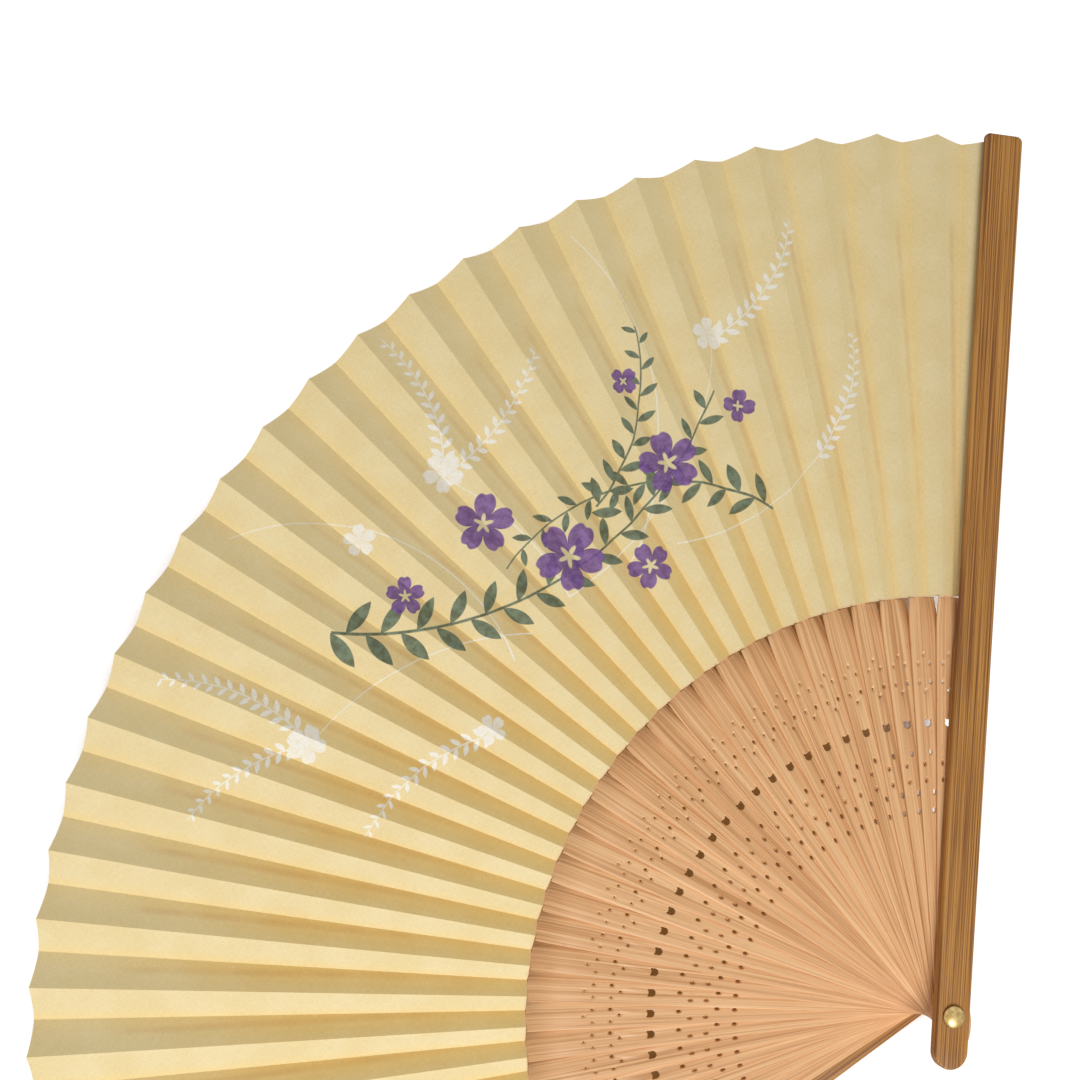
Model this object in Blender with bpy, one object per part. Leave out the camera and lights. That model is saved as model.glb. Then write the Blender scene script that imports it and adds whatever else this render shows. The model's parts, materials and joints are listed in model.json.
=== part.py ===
"""A folding hand fan, lying open with the face of its leaf up.

Thirty pierced bamboo sticks and two guards turn on one rivet. Each stick is a flat blade that
narrows to a rib, and the rib is twisted so that it lies flat against the back of its pleat.
The leaf is one sheet of cloth, pleated twice for every stick and pasted to both guards.

The Z axis is the rivet's axis and Z = 0 is the flat outer face of the rivet's back head.
Azimuths are measured in the XY plane from +X towards +Y. The front guard has the smallest
azimuth and is the highest piece of the stack, the back guard has the largest and is the lowest.
"""

import math

import bmesh
import bpy
from mathutils import Matrix, Vector

MM = 0.001

# How the fan opens
INNER_STICKS = 30
STICK_STEP = math.radians(4.15)  # from one stick to the next
GUARD_STEP = math.radians(3.5)  # from a guard to the stick beside it
FRONT_GUARD_AZIMUTH = math.radians(85.4)

# The stack on the rivet
STICK_THICK = 0.5 * MM
GUARD_THICK = 2.6 * MM
LAYER_GAP = 0.12 * MM  # between any two pieces of the stack

# Rivet
PIN_RADIUS = 1.2 * MM
BORE_CLEARANCE = 0.3 * MM
HEAD_RADIUS = 2.5 * MM
HEAD_THICK = 0.6 * MM
HEAD_BEVEL = 0.2 * MM
CAP_RISE = 1.3 * MM
CAP_SOCKET_DEPTH = 0.7 * MM
SOCKET_CLEARANCE = 0.15 * MM
TURNED_SIDES = 20
BORE_SIDES = 10

# Lengths along a stick, from the rivet's axis
GUARD_BUTT = 11.5 * MM
STICK_BUTT = 10.5 * MM
GUARD_REACH = 199 * MM
LEAF_INNER_RADIUS = 92.5 * MM
LEAF_BELOW_TIP = 1 * MM  # from a guard's tip down to the leaf's rim
RIB_BELOW_RIM = 18 * MM  # from the leaf's rim down to the end of a rib

# Half widths across a stick
GUARD_HALF_AT_RIVET = 3.85 * MM
GUARD_HALF_AT_TIP = 4.55 * MM
BLADE_HALF_AT_RIVET = 2.4 * MM
BLADE_FREE_AT_LEAF = 2.88 * MM  # from the middle line to the edge that lies on the next stick down
BLADE_COVERED_AT_LEAF = 4.15 * MM  # to the edge that lies under the next stick up
RIB_HALF = 1.2 * MM
RIB_HALF_AT_END = 0.95 * MM
RIB_THICK = 0.32 * MM

# Shoulder and twist between the blade and the rib
SHOULDER_LENGTH = 1.0 * MM
SHOULDER_BELOW_LEAF = 0.25 * MM
TWIST_BELOW_LEAF = 8 * MM
TWIST_BEHIND_LEAF = 2.5 * MM
TWIST_CUTS = 3

# Guards
GUARD_EDGE_BEVEL = 0.45 * MM
GUARD_TIP_CORNER = 1.4 * MM
ROUND_CUTS = 5
PARED_DEPTH = 1.6 * MM  # taken off the inner face, where the folded leaf lies
PARED_BELOW_LEAF = 13 * MM
PARED_RAMP = 4 * MM

# Leaf
LEAF_THICK = 0.2 * MM
PASTE_GAP = 0.15 * MM
PLEAT_TILT = math.radians(23)
GUARD_CREASE_OFFSET = math.radians(0.55)
PASTED_STRIP = math.radians(1.5)

# Pierced ornament of a blade: a flower of six petals, a bud, and a sprig of seeds
BUD_BELOW_LEAF = 28.3 * MM
BUD_HALF_WIDTH = 0.88 * MM
BUD_HALF_LENGTH = 0.95 * MM
FLOWER_ABOVE_BUD = 11.3 * MM
FLOWER_HALF_WIDTH = 1.55 * MM
FLOWER_HALF_LENGTH = 4.1 * MM
PETALS = 6
SEED_HALF_WIDTH = 0.42 * MM
SEED_HALF_LENGTH = 0.76 * MM
SPRIG_LENGTH = 19.3 * MM
SPRIG_HALF_WIDTH = 1.3 * MM
BUD_OUTLINE_SHARES = (
    (0.0, 0.7),
    (-0.75, 1.15),
    (-1.0, 0.1),
    (-0.65, -0.75),
    (0.0, -1.0),
    (0.65, -0.75),
    (1.0, 0.1),
    (0.75, 1.15),
)
SEED_OUTLINE_SHARES = ((0.0, 1.0), (-1.0, 0.0), (0.0, -1.0), (1.0, 0.0))
# across by SPRIG_HALF_WIDTH, and down from the bud by SPRIG_LENGTH
SPRIG_SHARES = ((-0.2, -0.33), (1.0, -0.46), (0.9, -0.65), (-0.4, -0.79), (-0.1, -1.0))


# Heights in the stack
def stick_middle(number):
    """Mid-height of inner stick `number`: 1 lies under the front guard, the last on the back guard."""
    lowest = HEAD_THICK + 2 * LAYER_GAP + GUARD_THICK + STICK_THICK / 2
    return lowest + (INNER_STICKS - number) * (STICK_THICK + LAYER_GAP)


BACK_GUARD_BOTTOM = HEAD_THICK + LAYER_GAP
BACK_GUARD_TOP = BACK_GUARD_BOTTOM + GUARD_THICK
FRONT_GUARD_BOTTOM = stick_middle(1) + STICK_THICK / 2 + LAYER_GAP
FRONT_GUARD_TOP = FRONT_GUARD_BOTTOM + GUARD_THICK
CAP_BOTTOM = FRONT_GUARD_TOP + LAYER_GAP


def stick_azimuth(number):
    return FRONT_GUARD_AZIMUTH + GUARD_STEP + (number - 1) * STICK_STEP


BACK_GUARD_AZIMUTH = stick_azimuth(INNER_STICKS) + GUARD_STEP
BORE_RADIUS = PIN_RADIUS + BORE_CLEARANCE
LEAF_OUTER_RADIUS = GUARD_REACH - LEAF_BELOW_TIP
RIB_REACH = LEAF_OUTER_RADIUS - RIB_BELOW_RIM

# Where a stick changes its shape
SHOULDER_END = LEAF_INNER_RADIUS - SHOULDER_BELOW_LEAF
SHOULDER_START = SHOULDER_END - SHOULDER_LENGTH
TWIST_START = LEAF_INNER_RADIUS - TWIST_BELOW_LEAF
TWIST_END = LEAF_INNER_RADIUS + TWIST_BEHIND_LEAF
PARED_START = LEAF_INNER_RADIUS - PARED_BELOW_LEAF


def smooth(share):
    share = min(max(share, 0.0), 1.0)
    return share * share * (3 - 2 * share)


def twist_at(radius):
    return PLEAT_TILT * smooth((radius - TWIST_START) / (TWIST_END - TWIST_START))


def blade_edges(radius):
    """Distances from a stick's middle line to its free edge (+Y) and its covered edge (-Y)."""
    share = max(radius, 0) / SHOULDER_START
    free = BLADE_HALF_AT_RIVET + (BLADE_FREE_AT_LEAF - BLADE_HALF_AT_RIVET) * share
    covered = BLADE_HALF_AT_RIVET + (BLADE_COVERED_AT_LEAF - BLADE_HALF_AT_RIVET) * share
    return free, covered


def guard_half_width(radius):
    grown = (GUARD_HALF_AT_TIP - GUARD_HALF_AT_RIVET) * max(radius, 0) / GUARD_REACH
    return GUARD_HALF_AT_RIVET + grown


def rounded_end(tip, radius, cuts):
    """Stations (x, half width) of a half-round end that starts at `tip` and widens along +X."""
    turns = [math.radians(90) * n / cuts for n in range(1, cuts + 1)]
    return [(tip + radius * (1 - math.cos(a)), radius * math.sin(a)) for a in turns]


# Materials
def material(name, colour, roughness, metallic=0.0):
    made = bpy.data.materials.new(name)
    made.use_nodes = True
    shader = made.node_tree.nodes["Principled BSDF"]
    shader.inputs["Base Color"].default_value = (*colour, 1.0)
    shader.inputs["Roughness"].default_value = roughness
    shader.inputs["Metallic"].default_value = metallic
    made.diffuse_color = (*colour, 1.0)
    return made


# Objects
def object_from(name, bm, finish, parent):
    """A closed bmesh becomes the mesh of a new object that hangs from the rivet's empty."""
    bmesh.ops.recalc_face_normals(bm, faces=bm.faces)
    mesh = bpy.data.meshes.new(name)
    bm.to_mesh(mesh)
    bm.free()
    mesh.materials.append(finish)
    return place(name, mesh, parent)


def place(name, mesh, parent, azimuth=0.0, height=0.0, turned_over=False):
    made = bpy.data.objects.new(name, mesh)
    bpy.context.scene.collection.objects.link(made)
    made.parent = parent
    made.location = (0, 0, height)
    made.rotation_euler = (math.pi if turned_over else 0, 0, azimuth)
    return made


def hole_cutter(bm, sides, radius, low, high):
    """An upright prism on the Z axis, the shape of a bore."""
    depth = high - low
    at = Matrix.Translation((0, 0, low + depth / 2))
    bmesh.ops.create_cone(
        bm,
        cap_ends=True,
        segments=sides,
        radius1=radius,
        radius2=radius,
        depth=depth,
        matrix=at,
    )


# Stick: a pierced blade, cut from sheet, with a twisted rib drawn out of its end
def seed(x, y):
    return [(x + v * SEED_HALF_LENGTH, y + u * SEED_HALF_WIDTH) for u, v in SEED_OUTLINE_SHARES]


def ornament():
    """Outlines of the openings in a blade, as (x along the stick, y across it)."""
    bud_x = LEAF_INNER_RADIUS - BUD_BELOW_LEAF
    holes = [[(bud_x + v * BUD_HALF_LENGTH, u * BUD_HALF_WIDTH) for u, v in BUD_OUTLINE_SHARES]]
    for petal in range(PETALS):
        turn = 2 * math.pi * petal / PETALS
        x = bud_x + FLOWER_ABOVE_BUD + FLOWER_HALF_LENGTH * math.cos(turn)
        holes.append(seed(x, FLOWER_HALF_WIDTH * math.sin(turn)))
    for u, v in SPRIG_SHARES:
        holes.append(seed(bud_x + v * SPRIG_LENGTH, u * SPRIG_HALF_WIDTH))
    return holes


def bore_outline():
    turns = [2 * math.pi * (n + 0.5) / BORE_SIDES for n in range(BORE_SIDES)]
    return [(BORE_RADIUS * math.cos(a), BORE_RADIUS * math.sin(a)) for a in turns]


def blade_outline():
    """The flat part of a stick, from its round butt to the line where the twist begins."""
    side = rounded_end(-STICK_BUTT, BLADE_HALF_AT_RIVET, ROUND_CUTS)
    free, covered = blade_edges(TWIST_START)
    end = [(TWIST_START, free), (TWIST_START, -covered)]
    return [(-STICK_BUTT, 0.0)] + side + end + [(x, -y) for x, y in reversed(side)]


def pierced_blade(bm):
    """Fills the outline round its openings and gives the sheet its thickness. Returns the end face."""
    loops = [blade_outline(), bore_outline()] + ornament()
    edges = []
    for loop in loops:
        corners = [bm.verts.new((x, y, -STICK_THICK / 2)) for x, y in loop]
        edges += [bm.edges.new(pair) for pair in zip(corners, corners[1:] + corners[:1])]
    filled = bmesh.ops.triangle_fill(bm, use_beauty=True, edges=edges)["geom"]
    sheet = [g for g in filled if isinstance(g, bmesh.types.BMFace)]
    raised = bmesh.ops.extrude_face_region(bm, geom=sheet)["geom"]
    moved = [g for g in raised if isinstance(g, bmesh.types.BMVert)]
    bmesh.ops.translate(bm, verts=moved, vec=(0, 0, STICK_THICK))
    near = STICK_THICK / 2
    return max(
        (f for f in bm.faces if all(v.co.x > TWIST_START - near for v in f.verts)),
        key=lambda f: f.calc_area(),
    )


def rib_stations():
    """(radius, distances to the free and the covered edge, thickness) along the twisted part."""
    stations = []
    for cut in range(1, TWIST_CUTS + 1):
        radius = TWIST_START + (SHOULDER_START - TWIST_START) * cut / TWIST_CUTS
        stations.append((radius, blade_edges(radius), STICK_THICK))
    middle = (SHOULDER_START + SHOULDER_END) / 2
    halfway = [(edge + RIB_HALF) / 2 for edge in blade_edges(middle)]
    stations.append((middle, halfway, (STICK_THICK + RIB_THICK) / 2))
    stations.append((SHOULDER_END, (RIB_HALF, RIB_HALF), RIB_THICK))
    stations.append((TWIST_END, (RIB_HALF, RIB_HALF), RIB_THICK))
    stations.append((RIB_REACH, (RIB_HALF_AT_END, RIB_HALF_AT_END), RIB_THICK))
    return stations


def draw_out_rib(bm, end):
    """Extrudes the end face from station to station, turning its section by the twist."""
    for radius, (free, covered), thick in rib_stations():
        end = bmesh.ops.extrude_discrete_faces(bm, faces=[end])["faces"][0]
        section = Matrix.Rotation(twist_at(radius), 3, "X")
        middle = end.calc_center_median()
        for v in end.verts:
            across = free if v.co.y > middle.y else -covered
            up = math.copysign(thick / 2, (v.co - middle).z - rise_across(end, v, middle))
            v.co = Vector((radius, 0, 0)) + section @ Vector((0, across, up))


def rise_across(end, v, middle):
    """How much of a corner's height above the middle comes from the section's slope."""
    left = [w.co - middle for w in end.verts if w.co.y > middle.y]
    slope = sum(w.z for w in left) / sum(w.y for w in left)
    return slope * (v.co.y - middle.y)


def make_sticks(finish, parent):
    bm = bmesh.new()
    draw_out_rib(bm, pierced_blade(bm))
    bmesh.ops.recalc_face_normals(bm, faces=bm.faces)
    mesh = bpy.data.meshes.new("stick")
    bm.to_mesh(mesh)
    bm.free()
    mesh.materials.append(finish)
    for number in range(1, INNER_STICKS + 1):
        name = f"stick_{number:02d}"
        place(name, mesh, parent, stick_azimuth(number), stick_middle(number))


# Guard: a thick slat with a softened outer edge, pared thin inside where the folded leaf lies
def guard_stations():
    """(radius, half width, depth pared off the inner face) from the butt to the tip."""
    stations = [(x, half, 0.0) for x, half in rounded_end(-GUARD_BUTT, GUARD_HALF_AT_RIVET, ROUND_CUTS)]
    stations.append((PARED_START, guard_half_width(PARED_START), 0.0))
    ramp_end = PARED_START + PARED_RAMP
    stations.append((ramp_end, guard_half_width(ramp_end), PARED_DEPTH))
    corner = rounded_end(0.0, GUARD_TIP_CORNER, ROUND_CUTS)
    for x, rise in reversed(corner):
        half = guard_half_width(GUARD_REACH) - GUARD_TIP_CORNER + rise
        stations.append((GUARD_REACH - x, half, PARED_DEPTH))
    flat = guard_half_width(GUARD_REACH) - GUARD_TIP_CORNER
    stations.append((GUARD_REACH, flat, PARED_DEPTH))
    return stations


def make_guard_mesh(finish):
    """Lofted with its inner face down at Z = 0."""
    bm = bmesh.new()
    rings = []
    for x, half, pared in guard_stations():
        corners = ((-half, pared), (half, pared), (half, GUARD_THICK), (-half, GUARD_THICK))
        rings.append([bm.verts.new((x, y, z)) for y, z in corners])
    for ring, following in zip(rings, rings[1:]):
        for n in range(4):
            m = (n + 1) % 4
            bm.faces.new((ring[n], ring[m], following[m], following[n]))
    tip_x = -GUARD_BUTT
    butt = [bm.verts.new((tip_x, 0, z)) for z in (0, GUARD_THICK)]
    first = rings[0]
    bm.faces.new((butt[0], first[0], first[3], butt[1]))
    bm.faces.new((butt[1], first[2], first[1], butt[0]))
    bm.faces.new((butt[0], first[1], first[0]))
    bm.faces.new((butt[1], first[3], first[2]))
    bm.faces.new(rings[-1])
    bmesh.ops.recalc_face_normals(bm, faces=bm.faces)
    outer = [e for e in bm.edges if all(v.co.z > GUARD_THICK - PARED_DEPTH / 2 for v in e.verts)]
    rim = [e for e in outer if any(abs(f.normal.z) < math.sin(math.radians(45)) for f in e.link_faces)]
    bmesh.ops.bevel(bm, geom=rim, offset=GUARD_EDGE_BEVEL, segments=1, affect="EDGES", profile=0.5)
    mesh = bpy.data.meshes.new("guard")
    bm.to_mesh(mesh)
    bm.free()
    mesh.materials.append(finish)
    return mesh


def bore_guard(guard, cutter):
    cut = guard.modifiers.new("bore", "BOOLEAN")
    cut.operation = "DIFFERENCE"
    cut.solver = "EXACT"
    cut.object = cutter


def make_guards(finish, parent):
    cutter_bm = bmesh.new()
    hole_cutter(cutter_bm, BORE_SIDES, BORE_RADIUS, -GUARD_THICK, CAP_BOTTOM + GUARD_THICK)
    cutter = object_from("bore_cutter", cutter_bm, finish, parent)
    cutter.hide_render = True
    cutter.display_type = "WIRE"
    mesh = make_guard_mesh(finish)
    front = place("front_guard", mesh, parent, FRONT_GUARD_AZIMUTH, FRONT_GUARD_BOTTOM)
    back = place("back_guard", mesh, parent, BACK_GUARD_AZIMUTH, BACK_GUARD_TOP, turned_over=True)
    bore_guard(front, cutter)
    bore_guard(back, cutter)


# Leaf: straight creases that all run from the rivet's axis, two for every stick
def crease(azimuth, height, slope):
    """The crease's (inner, outer) points on the middle of the cloth, rising by `slope`."""
    ends = []
    for radius in (LEAF_INNER_RADIUS, LEAF_OUTER_RADIUS):
        x = radius * math.cos(azimuth)
        y = radius * math.sin(azimuth)
        ends.append(Vector((x, y, height + slope * radius)))
    return ends


def leaf_creases():
    quarter = STICK_STEP / 4
    slope = math.sin(quarter) * math.tan(PLEAT_TILT)
    seat = (RIB_THICK / 2 + PASTE_GAP + LEAF_THICK / 2) / math.cos(PLEAT_TILT)
    under_front = FRONT_GUARD_BOTTOM + PARED_DEPTH - PASTE_GAP - LEAF_THICK / 2
    on_back = BACK_GUARD_TOP - PARED_DEPTH + PASTE_GAP + LEAF_THICK / 2
    front_crease = FRONT_GUARD_AZIMUTH + GUARD_CREASE_OFFSET
    back_crease = BACK_GUARD_AZIMUTH - GUARD_CREASE_OFFSET
    creases = [crease(front_crease - PASTED_STRIP, under_front, 0.0)]
    creases.append(crease(front_crease, under_front, 0.0))
    for number in range(1, INNER_STICKS + 1):
        azimuth = stick_azimuth(number)
        height = stick_middle(number) + seat
        creases.append(crease(azimuth - quarter, height, -slope))
        creases.append(crease(azimuth + quarter, height, slope))
    creases.append(crease(back_crease, on_back, 0.0))
    creases.append(crease(back_crease + PASTED_STRIP, on_back, 0.0))
    return creases


def make_leaf(finish, parent):
    bm = bmesh.new()
    half = Vector((0, 0, LEAF_THICK / (2 * math.cos(PLEAT_TILT))))
    sections = []
    for inner, outer in leaf_creases():
        corners = (inner - half, outer - half, outer + half, inner + half)
        sections.append([bm.verts.new(c) for c in corners])
    for section, following in zip(sections, sections[1:]):
        for n in range(4):
            m = (n + 1) % 4
            bm.faces.new((section[n], section[m], following[m], following[n]))
    bm.faces.new(sections[0])
    bm.faces.new(list(reversed(sections[-1])))
    bmesh.ops.triangulate(bm, faces=bm.faces, quad_method="FIXED")
    object_from("leaf", bm, finish, parent)


# Rivet: a pin with a flat back head, and a domed cap that closes its other end
def turned(name, profile, finish, parent):
    """Turns a closed (radius, height) outline that starts and ends on the Z axis."""
    bm = bmesh.new()
    points = [bm.verts.new((radius, 0, height)) for radius, height in profile]
    edges = [bm.edges.new(pair) for pair in zip(points, points[1:])]
    bmesh.ops.spin(
        bm,
        geom=points + edges,
        axis=(0, 0, 1),
        angle=2 * math.pi,
        steps=TURNED_SIDES,
        use_merge=True,
    )
    bmesh.ops.remove_doubles(bm, verts=bm.verts, dist=PIN_RADIUS / 1000)
    return object_from(name, bm, finish, parent)


def make_rivet(finish, parent):
    pin_end = CAP_BOTTOM + CAP_SOCKET_DEPTH - SOCKET_CLEARANCE
    pin = [
        (0.0, 0.0),
        (HEAD_RADIUS - HEAD_BEVEL, 0.0),
        (HEAD_RADIUS, HEAD_BEVEL),
        (HEAD_RADIUS, HEAD_THICK),
        (PIN_RADIUS, HEAD_THICK),
        (PIN_RADIUS, pin_end),
        (0.0, pin_end),
    ]
    turned("rivet_pin", pin, finish, parent)
    socket = PIN_RADIUS + SOCKET_CLEARANCE
    ceiling = CAP_BOTTOM + CAP_SOCKET_DEPTH
    cap = [(0.0, ceiling), (socket, ceiling), (socket, CAP_BOTTOM), (HEAD_RADIUS, CAP_BOTTOM)]
    for cut in range(ROUND_CUTS):
        turn = math.radians(90) * cut / ROUND_CUTS
        rise = HEAD_BEVEL + (CAP_RISE - HEAD_BEVEL) * math.sin(turn)
        cap.append((HEAD_RADIUS * math.cos(turn), CAP_BOTTOM + rise))
    cap.append((0.0, CAP_BOTTOM + CAP_RISE))
    turned("rivet_cap", cap, finish, parent)


def main():
    for old in list(bpy.data.objects):
        bpy.data.objects.remove(old, do_unlink=True)
    axis = bpy.data.objects.new("rivet_axis", None)
    bpy.context.scene.collection.objects.link(axis)
    stick_bamboo = material("stick_bamboo", (0.62, 0.40, 0.20), 0.45)
    guard_bamboo = material("guard_bamboo", (0.40, 0.20, 0.08), 0.4)
    leaf_cloth = material("leaf_cloth", (0.88, 0.74, 0.42), 0.8)
    rivet_brass = material("rivet_brass", (0.65, 0.50, 0.25), 0.3, 1.0)
    make_sticks(stick_bamboo, axis)
    make_guards(guard_bamboo, axis)
    make_leaf(leaf_cloth, axis)
    make_rivet(rivet_brass, axis)


main()
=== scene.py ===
# %% [markdown]
# Folding fan: the looks
#
# The imported model is a plain, exact fan: thirty pierced sticks, two guards, one pleated leaf and a
# rivet. This lesson dresses it. Each stick is modelled once by hand and copied, the leaf becomes
# cloth, and bamboo, cloth and brass are painted with nodes only.

import json
import math

import bmesh
import bpy
import numpy as np
from mathutils import Matrix, Vector

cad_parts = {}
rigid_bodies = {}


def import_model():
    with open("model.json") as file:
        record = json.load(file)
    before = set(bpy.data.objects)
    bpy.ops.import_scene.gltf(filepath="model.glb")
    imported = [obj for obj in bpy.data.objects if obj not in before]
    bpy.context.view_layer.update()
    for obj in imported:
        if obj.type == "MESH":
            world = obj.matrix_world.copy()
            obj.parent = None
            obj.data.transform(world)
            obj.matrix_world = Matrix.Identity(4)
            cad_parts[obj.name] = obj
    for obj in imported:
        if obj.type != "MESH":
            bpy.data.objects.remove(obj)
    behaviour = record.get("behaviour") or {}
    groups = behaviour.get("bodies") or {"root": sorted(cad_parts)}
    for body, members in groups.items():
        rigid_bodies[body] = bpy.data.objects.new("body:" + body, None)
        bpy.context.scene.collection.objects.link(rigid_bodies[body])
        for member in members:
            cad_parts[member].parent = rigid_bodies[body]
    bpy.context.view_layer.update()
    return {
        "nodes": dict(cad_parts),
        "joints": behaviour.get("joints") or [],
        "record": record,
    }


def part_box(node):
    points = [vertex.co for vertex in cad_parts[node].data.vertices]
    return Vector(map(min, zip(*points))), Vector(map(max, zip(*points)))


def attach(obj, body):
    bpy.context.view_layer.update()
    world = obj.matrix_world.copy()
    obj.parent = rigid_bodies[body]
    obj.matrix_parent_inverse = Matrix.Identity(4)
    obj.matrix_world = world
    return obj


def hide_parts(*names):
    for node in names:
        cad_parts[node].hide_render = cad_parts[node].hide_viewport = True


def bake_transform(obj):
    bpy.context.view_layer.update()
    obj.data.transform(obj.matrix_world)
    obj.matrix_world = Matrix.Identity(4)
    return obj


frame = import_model()
MM = 0.001
STICKS = sum(name.startswith("stick_") for name in frame["nodes"])

# %% [markdown]
# Where each piece lies
#
# The azimuths follow from the frame: a guard's mount gives its direction, and a joint's range is
# the angle by which its stick stands away from the one below it. The heights are those of the nodes.

# %% Places in the frame
JOINTS = {joint["child"]: joint for joint in frame["joints"]}
MOUNTS = {mount["name"]: Vector(mount["pos_m"]) for mount in frame["record"]["mounts"]}


def step_below(body):
    """The angle between a body and the one it turns on, when the fan is open."""
    return math.radians(JOINTS[body]["range_deg"][1])


def stick_name(number):
    return f"stick_{number:02d}"


def blade_name(number):
    return f"blade_{number:02d}"


BACK_AZIMUTH = math.atan2(MOUNTS["back_guard_face"].y, MOUNTS["back_guard_face"].x) % (2 * math.pi)
AZIMUTH = {STICKS: BACK_AZIMUTH - step_below(stick_name(STICKS))}
for number in range(STICKS - 1, 0, -1):
    AZIMUTH[number] = AZIMUTH[number + 1] - step_below(stick_name(number))
FRONT_AZIMUTH = AZIMUTH[1] - step_below("front_guard")
STEP = step_below(stick_name(1))
MIDDLE = {n: sum(corner.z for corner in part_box(stick_name(n))) / 2 for n in AZIMUTH}
print("front guard at", round(math.degrees(FRONT_AZIMUTH), 2), "degrees")

# %% [markdown]
# Small helpers
#
# Every operator acts on what is selected, so each piece starts with a clean selection. The helpers
# below keep that habit in one place, and work the way a person would: pick some vertices by where
# they are, then move, turn or widen them.


# %% Selection and finishing helpers
SMOOTH_ANGLE = math.radians(35)
BEVEL_ANGLE = math.radians(40)


def only(obj):
    """Selects one object and nothing else."""
    bpy.ops.object.select_all(action="DESELECT")
    obj.select_set(True)
    bpy.context.view_layer.objects.active = obj


def mode(name):
    bpy.ops.object.mode_set(mode=name)


def named(name):
    """Names the new primitive and its mesh."""
    made = bpy.context.active_object
    made.name = name
    made.data.name = name
    return made


def pick(obj, test):
    """In edit mode, selects the vertices for which test(co) is true, and counts them."""
    bpy.ops.mesh.select_mode(type="VERT")
    bpy.ops.mesh.select_all(action="DESELECT")
    bm = bmesh.from_edit_mesh(obj.data)
    found = [v for v in bm.verts if test(v.co)]
    for v in found:
        v.select = True
    bm.select_flush(True)
    bmesh.update_edit_mesh(obj.data)
    return len(found)


def cut_with(obj, cutter):
    """Subtracts the cutter from the object and removes the cutter."""
    only(obj)
    cut = obj.modifiers.new("cut", "BOOLEAN")
    cut.operation = "DIFFERENCE"
    cut.solver = "EXACT"
    cut.object = cutter
    bpy.ops.object.modifier_apply(modifier=cut.name)
    bpy.data.objects.remove(cutter, do_unlink=True)


def soften(obj, width, segments):
    """Rounds the sharp edges and shades the piece smooth between them."""
    only(obj)
    bevel = obj.modifiers.new("soft edges", "BEVEL")
    bevel.width = width
    bevel.segments = segments
    bevel.limit_method = "ANGLE"
    bevel.angle_limit = BEVEL_ANGLE
    bpy.ops.object.modifier_apply(modifier=bevel.name)
    bpy.ops.object.shade_smooth_by_angle(angle=SMOOTH_ANGLE)


def copy_of(obj, name):
    """A copy with its own mesh."""
    made = bpy.data.objects.new(name, obj.data.copy())
    made.data.name = name
    bpy.context.scene.collection.objects.link(made)
    return made


def placed(obj, azimuth, height, over=False):
    """Turns a piece that was modelled along +X to its place, and puts the place in its mesh."""
    place = Matrix.Translation((0, 0, height)) @ Matrix.Rotation(azimuth, 4, "Z")
    if over:
        place = place @ Matrix.Rotation(math.pi, 4, "X")
    obj.data.transform(place)


def dress(obj, *materials):
    """Gives an object these materials and no others."""
    obj.data.materials.clear()
    for material in materials:
        obj.data.materials.append(material)


def in_mm(sizes):
    return [round(size / MM, 3) for size in sizes]


def coordinates(obj):
    """All vertices of an object, one row each."""
    co = np.zeros(len(obj.data.vertices) * 3)
    obj.data.vertices.foreach_get("co", co)
    return co.reshape(-1, 3)


def write_uv(mesh, name, places):
    """Writes one place for each vertex into a UV map."""
    layer = mesh.uv_layers.get(name) or mesh.uv_layers.new(name=name)
    corner = np.zeros(len(mesh.loops), np.int32)
    mesh.loops.foreach_get("vertex_index", corner)
    layer.data.foreach_set("uv", places[corner].astype(np.float32).ravel())


# %% [markdown]
# The camera
#
# The photo looks down on the open fan from about 40 cm, slightly from one side. The tilts and the
# aim were fitted to the corners of the pleats and to the openings. Depth of field stays off, so
# every other view works.

# %% Camera
CAMERA_AIM = Vector((-87.8, 105.6, 0)) * MM
CAMERA_DISTANCE = 400 * MM
CAMERA_TILT_X = math.radians(-4.09)
CAMERA_TILT_Y = math.radians(10.19)
LENS = 58.28
to_camera = Matrix.Rotation(CAMERA_TILT_X, 4, "X") @ Matrix.Rotation(CAMERA_TILT_Y, 4, "Y")
camera_data = bpy.data.cameras.new("camera")
camera_data.lens = LENS
camera_data.clip_start = 0.01
camera = bpy.data.objects.new("camera", camera_data)
bpy.context.scene.collection.objects.link(camera)
camera.matrix_world = (
    Matrix.Translation(CAMERA_AIM) @ to_camera.inverted() @ Matrix.Translation((0, 0, CAMERA_DISTANCE))
)
bpy.context.scene.camera = camera
print("camera at", [round(x, 4) for x in camera.matrix_world.translation])

# %% [markdown]
# The lamp
#
# One large lamp stands on the near side, halfway up, so that one face of each pleat is bright and
# the other falls into half shade. It is near enough to fade a little towards the far corner.

# %% Lamp
LAMP_PLACE = Vector((0, -700, 880)) * MM
LAMP_AIM = Vector((-90, 60, 0)) * MM
LAMP_SIZE = 450 * MM
LAMP_POWER = 9.1

lamp_data = bpy.data.lights.new("window", "AREA")
lamp_data.energy = LAMP_POWER
lamp_data.size = LAMP_SIZE
lamp = bpy.data.objects.new("window", lamp_data)
bpy.context.scene.collection.objects.link(lamp)
lamp.location = LAMP_PLACE
lamp.rotation_mode = "QUATERNION"
lamp.rotation_quaternion = (LAMP_AIM - LAMP_PLACE).to_track_quat("-Z", "Y")
bpy.context.scene.view_settings.view_transform = "Standard"
print("lamp at", round((LAMP_AIM - LAMP_PLACE).length, 2), "m")

# %% [markdown]
# A short way to write nodes
#
# A material is a formula, and a formula reads best on one line. `Nodes` adds a math node for each
# call and links what it is given, so a row of calls becomes a tree that anyone can open in the
# editor.


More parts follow.
